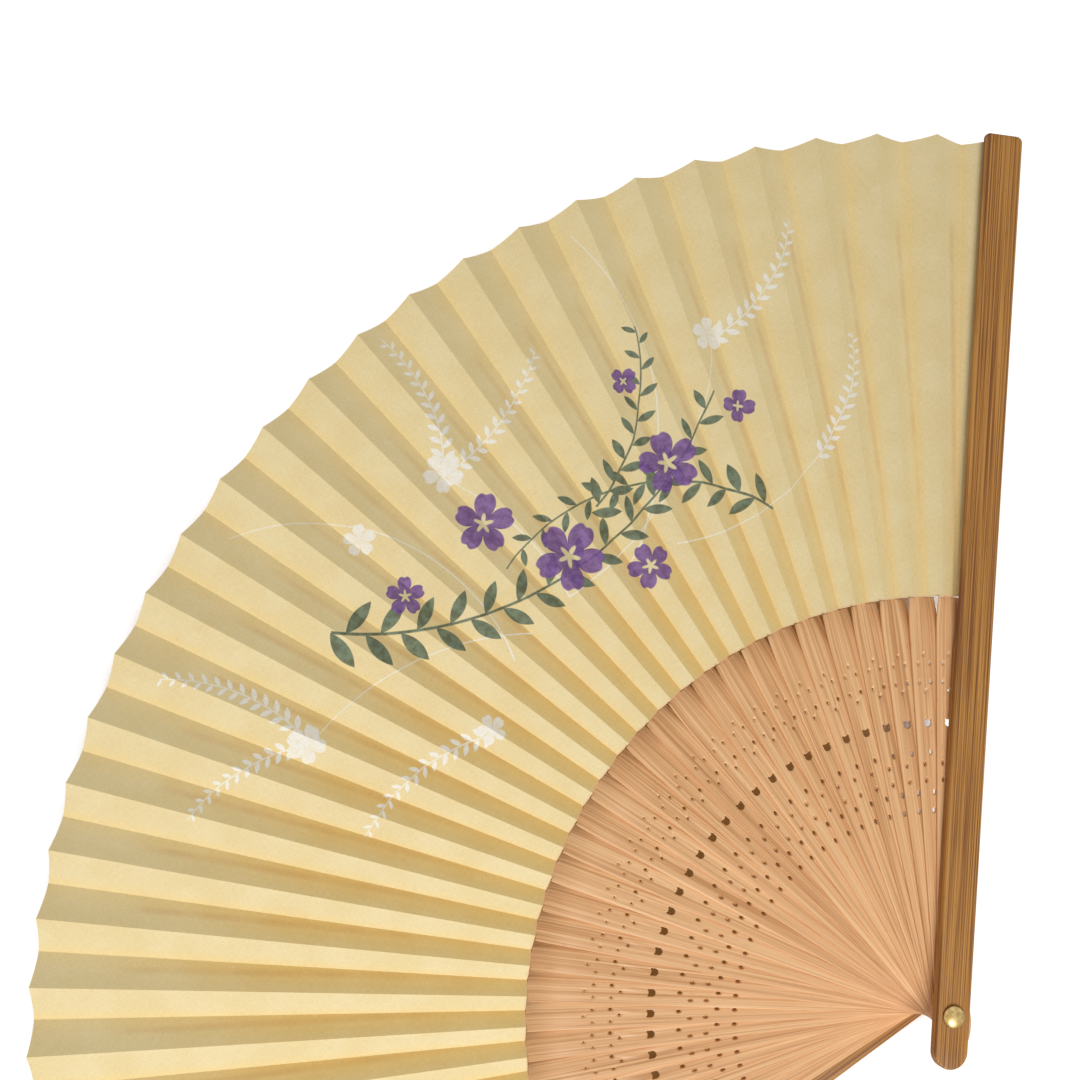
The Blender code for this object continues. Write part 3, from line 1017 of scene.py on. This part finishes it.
# %% Panels
def panel(name, first, second, climb):
    """A cloth panel from one crease to the next, counted along the azimuth.

    Climb tells how high each of the two creases is, from 0 for a valley to 1 for a mountain. The rim
    lies a little further in at a valley. The map "place" keeps where the cloth lies in the open fan,
    so the painting runs on over the creases. The map "fold" has the climb and the radius.
    """
    bpy.ops.object.select_all(action="DESELECT")
    bpy.ops.mesh.primitive_grid_add(x_subdivisions=ALONG_CUTS, y_subdivisions=ACROSS_CUTS, size=1)
    made = named(name)
    made.data.uv_layers[0].name = "place"
    grid = np.clip(coordinates(made) + 0.5, 0, 1)
    share = grid[:, 1:2]
    height = climb[0] * (1 - share) + climb[1] * share
    rim = LEAF_OUTER - RIM_DIP * (1 - height**RIM_CURVE)
    radius = LEAF_INNER + (rim - LEAF_INNER) * grid[:, :1]
    lines = [np.array((0, 0, foot)) + radius * np.array(along) for foot, along in (first, second)]
    points = lines[0] * (1 - share) + lines[1] * share
    made.data.vertices.foreach_set("co", points.ravel())
    write_uv(made.data, "place", points[:, :2])
    write_uv(made.data, "fold", np.hstack((height, radius)))
    made.data.update()
    return made, share, points


def cloth(made, first, second):
    """Its border is marked as sharp, or the shading would bend over into the cut edge.
    """
    shell = made.modifiers.new("thickness", "SOLIDIFY")
    shell.thickness = CLOTH_THICK
    shell.offset = -1
    shell.material_offset = 1
    only(made)
    bpy.ops.object.shade_smooth()
    mode("EDIT")
    bpy.ops.mesh.select_all(action="SELECT")
    bpy.ops.mesh.region_to_loop()
    bpy.ops.mesh.mark_sharp()
    mode("OBJECT")
    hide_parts("leaf")
    angle = first[1].angle(second[1])
    flat_area = angle / 2 * (LEAF_OUTER**2 - LEAF_INNER**2)
    return flat_area


def bend_between(made, share, points, first, second):
    """Reshapes a panel between its two creases, and bakes its place into its mesh.

    Each point moves along the line at right angles to both creases, by an amount that is nought at
    both creases and halfway between them.
    """
    normal = first[1].cross(second[1]).normalized()
    reach = normal * ((second[0] - first[0]) * normal.z)
    eased = 0.5 - np.sin(np.arcsin(1 - 2 * np.clip(share, 0, 1)) / 3)
    points = points + (eased - share) * np.array(reach)
    made.data.vertices.foreach_set("co", points.ravel())
    made.data.update()
    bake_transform(made)


# %% Hang the leaf
leaf_area = 0.0
for number in range(1, STICKS + 1):
    low, high = valley(number), mountain(number)
    made, *_ = panel(f"pleat_{number:02d}", low, high, (0, 1))
    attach(made, stick_name(number))
    leaf_area += cloth(made, low, high)

front_crease = crease(FRONT_AZIMUTH + GUARD_CREASE, PASTED_AT_FRONT)
back_crease = crease(BACK_AZIMUTH - GUARD_CREASE, PASTED_AT_BACK)
upper = [("front_guard", "front_guard_slat", front_crease)]
upper += [(stick_name(k), blade_name(k), mountain(k)) for k in range(1, STICKS + 1)]
lower = [(stick_name(k), blade_name(k), valley(k)) for k in range(1, STICKS + 1)]
lower.append(("back_guard", "back_guard_slat", back_crease))
for number, ((above, upper_piece, high), (below, lower_piece, low)) in enumerate(zip(upper, lower)):
    made, share, points = panel(f"fold_{number:02d}", high, low, (1, 0))
    bend_between(made, share, points, high, low)
    leaf_area += cloth(made, high, low)

front_edge = crease(FRONT_AZIMUTH + GUARD_CREASE - PASTED_STRIP, PASTED_AT_FRONT)
back_edge = crease(BACK_AZIMUTH - GUARD_CREASE + PASTED_STRIP, PASTED_AT_BACK)
for name, body, first, second, climb in (
    ("pasted_front", "front_guard", front_edge, front_crease, (1, 1)),
    ("pasted_back", "back_guard", back_crease, back_edge, (0, 0)),
):
    made, *_ = panel(name, first, second, climb)
    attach(made, body)
    leaf_area += cloth(made, first, second)
print("leaf:", 2 * STICKS + 3, "panels,", round(leaf_area * 1e4, 1), "square cm of cloth")

# %% [markdown]
# Brushes for the painting
#
# The leaf carries a light scatter of blossoms, leafy twigs and pale grasses. Two node groups are the
# brushes. The first paints a twig along an arc, with pairs of pointed leaflets that get smaller
# towards its end. The second paints a round blossom with notched petals. Both work in millimetres on
# the map "place", so the picture lies flat over all the creases, as if it was painted on the open fan.


# %% Twig brush
def make_twig():
    sizes = ("Radius", "Middle", "Half", "Leaf length", "Leaf width", "Spacing", "Stem")
    inputs = {"Vector": ("Place", "Centre"), "Float": sizes}
    group, n, given, ends = new_group("painted_twig", inputs, {"Float": ("Mask",)})
    lean = math.radians(38)
    turned = n.add("VectorRotate", rotation_type="Z_AXIS", invert=True)
    for label, source in {"Vector": "Place", "Center": "Centre", "Angle": "Middle"}.items():
        n.put(turned.inputs[label], given[source])
    local = n.vector("SUBTRACT", turned.outputs["Vector"], given["Centre"])
    x, y = n.split(local)
    angle = n.math("ARCTAN2", y, x)
    off = n.minus(n.math("SQRT", n.plus(n.times(x, x), n.times(y, y))), given["Radius"])
    side = n.math("ABSOLUTE", off)
    share = n.scaled(n.divided(angle, given["Half"]), 0.5, 0.5)
    taper = n.scaled(share, -0.45, 1.0)
    inside = n.math("COMPARE", share, 0.5, 0.5)
    stem = n.ramp(n.minus(side, n.times(given["Stem"], taper, 0.5)), 0.12, -0.12)
    run = n.scaled(n.math("SIGN", off), n.times(given["Spacing"], 0.22), n.times(angle, given["Radius"]))
    cell = n.times(n.minus(n.math("FRACT", n.divided(run, given["Spacing"])), 0.5), given["Spacing"])
    cell_angle = n.divided(n.minus(run, cell), given["Radius"])
    cell_share = n.scaled(n.divided(cell_angle, given["Half"]), 0.5, 0.5)
    whole = n.math("COMPARE", cell_share, 0.5, 0.5)
    length = n.times(given["Leaf length"], taper)
    rooted = n.scaled(length, math.sin(lean) / 2, cell)
    out = n.plus(n.times(rooted, math.sin(lean)), n.times(side, math.cos(lean)))
    across = n.minus(n.times(rooted, math.cos(lean)), n.times(side, math.sin(lean)))
    reach = n.divided(out, n.math("MAXIMUM", length, 0.01))
    bow = n.times(reach, n.minus(1.0, reach))
    half = n.times(bow, 2.0, n.times(given["Leaf width"], taper))
    leaflet = n.ramp(n.minus(half, n.math("ABSOLUTE", across)), -0.02, 0.16)
    leaflet = n.times(leaflet, whole)
    n.put(ends["Mask"], n.math("MAXIMUM", n.times(inside, stem), leaflet))
    return group


# %% Blossom brush
def make_blossom():
    inputs = {"Vector": ("Place", "Centre"), "Float": ("Size", "Turn", "Petals")}
    outputs = {"Float": ("Petal", "Heart", "Shade")}
    group, n, given, ends = new_group("painted_blossom", inputs, outputs)
    local = n.vector("SUBTRACT", given["Place"], given["Centre"])
    x, y = n.split(local)
    reach = n.divided(n.vector("LENGTH", local), given["Size"])
    angle = n.times(n.plus(n.math("ARCTAN2", y, x), given["Turn"]), n.times(given["Petals"], 0.5))
    swell = n.math("ABSOLUTE", n.math("COSINE", angle))
    edge = n.scaled(n.math("POWER", swell, 0.5), 0.68, 0.32)
    edge = n.scaled(n.math("POWER", swell, 24.0), -0.09, edge)
    petal = n.ramp(n.minus(edge, reach), 0.0, 0.05)
    rays = n.math("COSINE", n.times(angle, 14.0))
    veins = n.times(n.scaled(rays, 0.5, 0.5), n.ramp(reach, 0.85, 0.2))
    seam = n.ramp(swell, 0.34, 0.05)
    shade = n.plus(n.times(veins, 0.45), n.times(seam, 0.6))
    heart_edge = n.scaled(n.math("POWER", swell, 3.0), 0.2, 0.13)
    n.put(ends["Petal"], petal)
    n.put(ends["Heart"], n.ramp(n.minus(heart_edge, reach), -0.03, 0.05))
    n.put(ends["Shade"], n.plus(shade, n.ramp(reach, 0.75, 1.0, 0.0, 0.35)))
    return group


TWIG = make_twig()
BLOSSOM = make_blossom()
print("brushes:", len(TWIG.nodes), "and", len(BLOSSOM.nodes), "nodes")

# %% [markdown]
# The painting
#
# All places are millimetres from the rivet. A twig is given by its two ends and by how far it bows
# out to the right of the way from the first end to the second one.

# %% Layout of the painting
GREEN_TWIGS = (
    ((-136, 84), (-52, 138), 17, 9.4, 3.3, 7.6, 0.7),
    ((-38, 112), (-98, 98), 12, 7.4, 2.6, 6.2, 0.6),
    ((-78, 112), (-70, 152), 5, 6.6, 2.3, 5.6, 0.5),
)
WHITE_TWIGS = (
    ((-112, 118), (-126, 148), 4, 3.6, 1.5, 2.7, 0.35),
    ((-112, 118), (-92, 146), 3, 3.4, 1.4, 2.6, 0.35),
    ((-140, 60), (-172, 74), 4, 3.6, 1.5, 2.7, 0.35),
    ((-140, 60), (-166, 44), 3, 3.2, 1.4, 2.5, 0.35),
    ((-52, 150), (-34, 178), 4, 3.6, 1.5, 2.7, 0.35),
    ((-100, 62), (-128, 40), 4, 3.4, 1.4, 2.6, 0.35),
    ((-28, 124), (-20, 152), 3, 3.2, 1.3, 2.5, 0.35),
)
GRASSES = (
    ((-84, 92), (-112, 118), 3),
    ((-84, 92), (-52, 150), 8),
    ((-92, 84), (-140, 60), 6),
    ((-70, 100), (-84, 172), 12),
    ((-96, 78), (-158, 104), 14),
    ((-60, 104), (-28, 124), 4),
)
BLOSSOMS = (
    ((-84, 101), 8.2, 0.2, 5),
    ((-103, 108), 7.0, 1.0, 5),
    ((-62, 122), 7.4, 0.6, 5),
    ((-66, 99), 5.4, 0.4, 5),
    ((-120, 92), 4.6, 0.9, 5),
    ((-46, 135), 4.0, 0.1, 4),
    ((-72, 140), 3.4, 0.7, 4),
)
PALE_BLOSSOMS = (
    ((-112, 119), 4.8, 0.3, 5),
    ((-130, 104), 3.8, 0.8, 5),
    ((-141, 60), 4.6, 0.1, 5),
    ((-101, 63), 3.6, 0.5, 5),
    ((-53, 151), 4.2, 0.9, 5),
)


def arc_values(first, last, bow):
    """The arc from first to last, as the twig brush wants it."""
    first, last = Vector(first), Vector(last)
    chord = last - first
    left = Vector((-chord.y, chord.x)).normalized()
    radius = (chord.length**2 / 4 + bow**2) / (2 * bow)
    centre = (first + last) / 2 + left * (radius - bow)
    return {
        "Centre": (*centre, 0.0),
        "Radius": radius,
        "Middle": math.atan2(-left.y, -left.x),
        "Half": math.asin(chord.length / 2 / radius),
    }


def make_painting():
    outputs = {"Float": ("White", "Green", "Petal", "Heart", "Shade")}
    group, n, given, ends = new_group("fan_painting", {"Vector": ("Place",)}, outputs)

    def most(values):
        total = values[0]
        for value in values[1:]:
            total = n.math("MAXIMUM", total, value)
        return total

    def twig(first, last, bow, length=0.0, width=0.0, spacing=5.0, stem=0.28):
        sizes = {"Leaf_length": length, "Leaf_width": width, "Spacing": spacing, "Stem": stem}
        return use_group(n, TWIG, Place=given["Place"], **arc_values(first, last, bow), **sizes)["Mask"]

    def blossom(centre, size, turn, petals):
        sizes = {"Size": size, "Turn": turn, "Petals": petals}
        return use_group(n, BLOSSOM, Place=given["Place"], Centre=(*centre, 0.0), **sizes)

    green = most([twig(*row) for row in GREEN_TWIGS])
    white = [twig(*row) for row in WHITE_TWIGS + GRASSES]
    for row in PALE_BLOSSOMS:
        flower = blossom(*row)
        faded = n.minus(0.95, n.times(flower["Shade"], 0.75))
        white.append(n.times(flower["Petal"], faded))
    flowers = [blossom(*row) for row in BLOSSOMS]
    n.put(ends["White"], most(white))
    n.put(ends["Green"], green)
    n.put(ends["Petal"], most([flower["Petal"] for flower in flowers]))
    n.put(ends["Heart"], most([flower["Heart"] for flower in flowers]))
    shades = [n.times(flower["Shade"], flower["Petal"]) for flower in flowers]
    n.put(ends["Shade"], most(shades))
    return group


PAINTING = make_painting()
print("painting:", len(PAINTING.nodes), "nodes")

# %% [markdown]
# The cloth
#
# The bare cloth is straw yellow with a fine weave. Along the valleys it carries painted warm bounce
# light, and the panels over the ribs carry a painted warm shade. That painted shade is deeper on the
# left of the fan, and most of all near the sticks. A soft brown streak along one edge of each rib is
# the rib showing through the cloth, with painted shade in the dip beside it. The paint lies on top and
# lets the weave show through.


# %% Cloth group
STRAW = (0.915, 0.735, 0.385)
PALE_STRAW = (0.94, 0.78, 0.44)
DULL_STRAW = (0.89, 0.72, 0.35)
# Painted warm bounce light along the valleys.
VALLEY_BOUNCE_LIGHT = (0.94, 0.70, 0.28)
# Painted warm shade on the rib panels.
WARM_RIB_SHADE = (0.92, 0.66, 0.25)
# The rib showing through the cloth, with painted shade beside it.
RIB_SHOW_AND_SHADE = (0.74, 0.47, 0.19)
# Painted deeper shade on the rib panels.
DEEPER_SHADE = (1.0, 0.87, 0.62)
HEM_BROWN = (0.93, 0.60, 0.33)
PAINT_WHITE = (1.0, 0.97, 0.88)
PAINT_GREENS = (0.052, 0.085, 0.052), (0.125, 0.20, 0.135)
PAINT_VIOLETS = (0.155, 0.062, 0.245), (0.27, 0.135, 0.40)
VIOLET_SHADE = (0.085, 0.03, 0.15)
HEART_YELLOW = (0.92, 0.80, 0.42)


def make_cloth():
    outputs = {"Color": ("Color",), "Float": ("Height",)}
    group, n, given, ends = new_group("straw_cloth", {"Float": ("Ribbed", "Painted")}, outputs)
    place = n.vector("SCALE", n.uv("place"))
    place.node.inputs["Scale"].default_value = 1000.0
    share, radius = n.split(n.uv("fold"))
    x, _ = n.split(n.uv("place"))
    leftward = n.divided(x, n.times(radius, -1.0))
    mottled = n.mix(n.ramp(n.noise(place, 0.11, 3.0), 0.35, 0.65), STRAW, PALE_STRAW)
    uneven = n.ramp(n.noise(place, 0.14, 2.0), 0.3, 0.65, 0.4, 1.0)

    def tinted(colour, mask, strength, tint):
        return n.mix(n.times(mask, strength), colour, tint)

    def on_ribs(mask):
        return n.times(mask, given["Ribbed"])

    # Painted warm bounce light along each valley, stronger on the panels between ribs.
    valley_light_share = n.scaled(given["Ribbed"], -0.3, 0.45)
    colour = tinted(mottled, n.ramp(share, 0.38, 0.0), valley_light_share, VALLEY_BOUNCE_LIGHT)
    off = n.times(n.minus(share, 0.5), n.times(radius, 2 * math.tan(STEP / 4) / MM))
    over = n.ramp(radius, RIB_REACH + 1 * MM, RIB_REACH - 5 * MM)
    # Painted warm shade on the rib panels, from a rib's middle towards the valley, stronger on the left
    # of the fan.
    rib_shade_mask = n.times(n.ramp(off, 0.1, -1.1), n.scaled(over, 0.55, 0.45))
    rib_shade_strength = n.ramp(leftward, 0.1, 0.95, 0.25, 0.35)
    colour = tinted(colour, on_ribs(rib_shade_mask), rib_shade_strength, WARM_RIB_SHADE)
    colour = tinted(colour, on_ribs(n.ramp(off, -0.8, 1.4)), 0.35, DULL_STRAW)
    # A soft brown streak along the valley-side edge of each rib: the rib showing through the cloth, with
    # painted shade in the dip beside it.
    streak_place = n.scaled(radius, -19.6, 4.0)
    edge = n.times(n.ramp(n.math("ABSOLUTE", n.plus(off, streak_place)), 1.15, 0.1), over)
    edge = n.times(edge, n.ramp(radius, LEAF_INNER + 8 * MM, LEAF_INNER + 35 * MM, 0.15, 1.0))
    colour = tinted(colour, on_ribs(n.times(edge, uneven)), 0.38, RIB_SHOW_AND_SHADE)
    # Painted deeper shade on the rib panels: multiplied in near the sticks, reaching further out on the
    # left of the fan, most towards the valley.
    reach = n.ramp(leftward, 0.7, 1.0, 103 * MM, 139 * MM)
    deeper_shade_mask = n.ramp(n.minus(radius, reach), 45 * MM, 0.0)
    deeper_shade_mask = n.times(deeper_shade_mask, n.ramp(leftward, 0.0, 0.6, 0.2, 1.0))
    deeper_shade_mask = n.times(deeper_shade_mask, n.ramp(off, 1.6, 0.5, 0.7, 1.0))
    colour = n.mix(on_ribs(deeper_shade_mask), colour, DEEPER_SHADE, "MULTIPLY")
    hem = n.ramp(radius, LEAF_INNER + 0.55 * MM, LEAF_INNER + 0.15 * MM)
    colour = n.mix(n.times(hem, 0.6), colour, HEM_BROWN)

    paint = use_group(n, PAINTING, Place=place)
    wash = n.noise(place, 0.55, 3.0, 0.6)
    dab = n.noise(place, 1.9, 2.0)
    on = given["Painted"]
    white = n.times(paint["White"], on, n.ramp(dab, 0.25, 0.6, 0.65, 1.0))
    colour = n.mix(white, colour, PAINT_WHITE)
    leaf_green = n.mix(n.ramp(wash, 0.36, 0.62), *PAINT_GREENS)
    colour = n.mix(n.times(paint["Green"], on, 0.9), colour, leaf_green)
    petal = n.mix(n.ramp(wash, 0.35, 0.65), *PAINT_VIOLETS)
    petal = n.mix(n.times(n.math("MINIMUM", paint["Shade"], 1.0), 0.6), petal, VIOLET_SHADE)
    colour = n.mix(n.times(paint["Petal"], on, 0.93), colour, petal)
    colour = n.mix(n.times(paint["Heart"], on, 0.9), colour, HEART_YELLOW)

    warp = n.noise(n.stretched(place, 6.5, 0.9), 1.0, 2.0)
    weft = n.noise(n.stretched(place, 0.9, 6.5), 1.0, 2.0)
    threads = n.times(n.plus(warp, weft), 0.5)
    tone = n.ramp(threads, 0.34, 0.66, 0.93, 1.045)
    creased = n.noise(place, 0.3, 2.0)
    n.put(ends["Color"], n.mix(1.0, colour, n.grey(tone), "MULTIPLY"))
    n.put(ends["Height"], n.scaled(creased, 1.5, threads))
    return group


CLOTH = make_cloth()


def cloth_material(name, ribbed, painted):
    made, n, shader = new_material(name, 0.82)
    cover = use_group(n, CLOTH, Ribbed=ribbed, Painted=painted)
    n.put(shader.inputs["Base Color"], cover["Color"])
    bump(n, shader, cover["Height"], 0.05 * MM, 0.45)
    return made


CLOTH_LOOKS = {
    "pleat_": cloth_material("leaf_on_rib", 1.0, 1.0),
    "fold_": cloth_material("leaf_between_ribs", 0.0, 1.0),
    "pasted_": cloth_material("leaf_on_guard", 0.0, 0.0),
}
LEAF_BACK = cloth_material("leaf_back", 0.0, 0.0)
for start, look in CLOTH_LOOKS.items():
    for made in bpy.data.objects:
        if made.name.startswith(start):
            dress(made, look, LEAF_BACK)
print("cloth:", len(CLOTH.nodes), "nodes in the cloth group")
